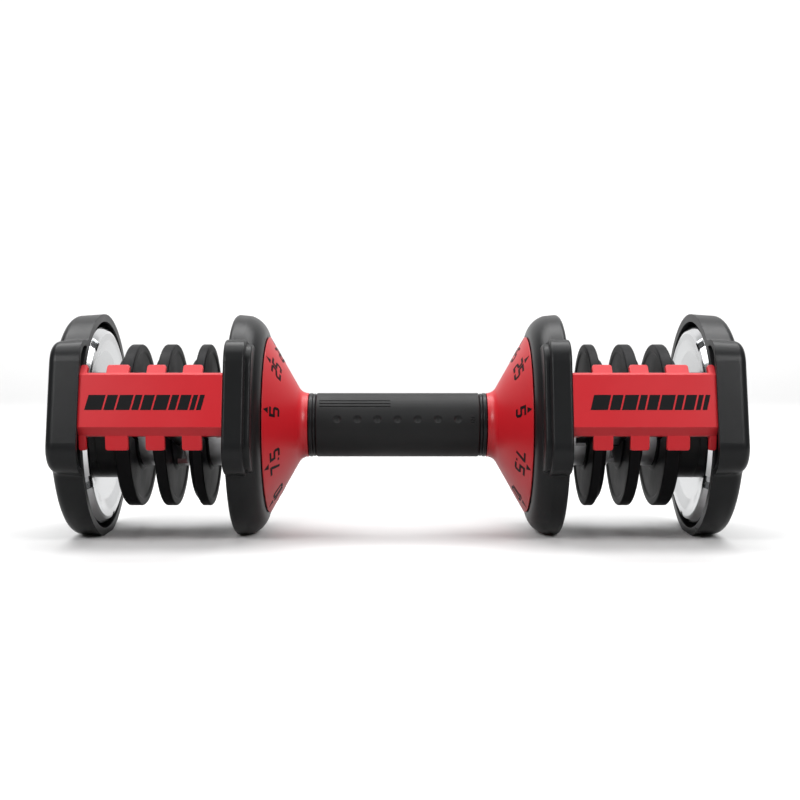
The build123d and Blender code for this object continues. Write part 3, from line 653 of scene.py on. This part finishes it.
sheet = bmesh.new()
edges = [[sheet.verts.new((x, y, z)) for y, z in sweep_profile()] for x in (-SWEEP_HALF, SWEEP_HALF)]
for k in range(len(edges[0]) - 1):
    sheet.faces.new((edges[0][k], edges[1][k], edges[1][k + 1], edges[0][k + 1]))
sheet_mesh = bpy.data.meshes.new("backdrop")
sheet.to_mesh(sheet_mesh)
sheet.free()
for polygon in sheet_mesh.polygons:
    polygon.use_smooth = True
backdrop = bpy.data.objects.new("backdrop", sheet_mesh)
bpy.context.scene.collection.objects.link(backdrop)
paper, paper_tree, paper_shader = start_material("white_paper")
seen = add_node(paper_tree, "ShaderNodeLightPath")
paper_tone = add_node(paper_tree, "ShaderNodeMix", data_type="RGBA")
paper_tone.inputs["A"].default_value = (0.79, 0.79, 0.79, 1)
paper_tone.inputs["B"].default_value = (0.25, 0.25, 0.25, 1)
join(paper_tree, seen.outputs["Is Diffuse Ray"], paper_tone.inputs["Factor"])
mirrored = add_node(paper_tree, "ShaderNodeMix", data_type="RGBA")
mirrored.inputs["B"].default_value = (0.5, 0.5, 0.5, 1)
join(paper_tree, seen.outputs["Is Glossy Ray"], mirrored.inputs["Factor"])
join(paper_tree, paper_tone.outputs["Result"], mirrored.inputs["A"])
join(paper_tree, mirrored.outputs["Result"], paper_shader.inputs["Base Color"])
paper_place = add_node(paper_tree, "ShaderNodeTexCoord")
paper_height = add_node(paper_tree, "ShaderNodeSeparateXYZ")
join(paper_tree, paper_place.outputs["Object"], paper_height.inputs["Vector"])
paper_glow = add_node(paper_tree, "ShaderNodeMapRange", {"From Max": 0.25, "To Max": 0.35})
join(paper_tree, paper_height.outputs["Z"], paper_glow.inputs["Value"])
join(paper_tree, paper_glow.outputs["Result"], paper_shader.inputs["Emission Strength"])
paper_shader.inputs["Emission Color"].default_value = (1, 1, 1, 1)
paper_shader.inputs["Roughness"].default_value = 0.8
paper_shader.inputs["Specular IOR Level"].default_value = 0.1
sheet_mesh.materials.append(paper)
print("backdrop", len(sheet_mesh.polygons), "faces")

# %% [markdown]
# ## Light
#
# A large soft box overhead lights the top faces and leaves the lower bevels dark. Two boxes
# high up at the left and right light the fronts from the side, where their mirror image misses
# the lens, so black plastic stays black. The world round them is a dim grey, which gives the
# plastic something dark to reflect, though the lens sees it as white.

# %% Lights
def soft_box(name, location, target, size, power):
    """A rectangular area light aimed at a point."""
    light = bpy.data.lights.new(name, "AREA")
    light.shape = "RECTANGLE"
    light.size, light.size_y = size
    light.energy = power
    lamp = bpy.data.objects.new(name, light)
    lamp.location = location
    lamp.rotation_euler = (Vector(target) - Vector(location)).to_track_quat("-Z", "Y").to_euler()
    bpy.context.scene.collection.objects.link(lamp)
    return lamp


soft_box("top_box", (0, 0.1, 1.5), AXIS, (2.4, 1.2), 24)
soft_box("left_box", (-1.15, -1.25, 1.15), AXIS, (0.7, 0.7), 17)
soft_box("right_box", (1.15, -1.25, 1.15), AXIS, (0.7, 0.7), 17)
soft_box("paper_box", (0, 1.2, 2.2), (0, 1.4, 0), (3.0, 1.0), 46)
world = bpy.data.worlds.new("studio")
bpy.context.scene.world = world
world.use_nodes = True
sky = world.node_tree
lens_ray = add_node(sky, "ShaderNodeLightPath")
brightness = add_node(sky, "ShaderNodeMapRange", {"To Min": 0.12, "To Max": 1.0})
join(sky, lens_ray.outputs["Is Camera Ray"], brightness.inputs["Value"])
join(sky, brightness.outputs["Result"], sky.nodes["Background"].inputs["Strength"])
sky.nodes["Background"].inputs["Color"].default_value = (1, 1, 1, 1)
bpy.context.scene.view_settings.view_transform = "Standard"
print("lights", len(bpy.data.lights))

# %% [markdown]
# ## Camera
#
# The camera looks straight at the front from a little above the handle, near enough that the
# inner faces of both heads show. A small vertical shift puts the dumbbell just below the middle
# of the frame, without tilting it.

# %% Camera
CAMERA_DISTANCE = 0.819
CAMERA_ELEVATION = math.radians(4.0)
lens = bpy.data.cameras.new("camera")
lens.lens = 58.5
lens.sensor_width = 36.0
lens.shift_x = 0.003
lens.shift_y = 0.031
camera = bpy.data.objects.new("camera", lens)
bpy.context.scene.collection.objects.link(camera)
to_camera = Vector((0, -math.cos(CAMERA_ELEVATION), math.sin(CAMERA_ELEVATION)))
camera.location = AXIS + CAMERA_DISTANCE * to_camera
camera.rotation_euler = (AXIS - camera.location).to_track_quat("-Z", "Y").to_euler()
bpy.context.scene.camera = camera
print("camera at", [round(v, 3) for v in camera.location])
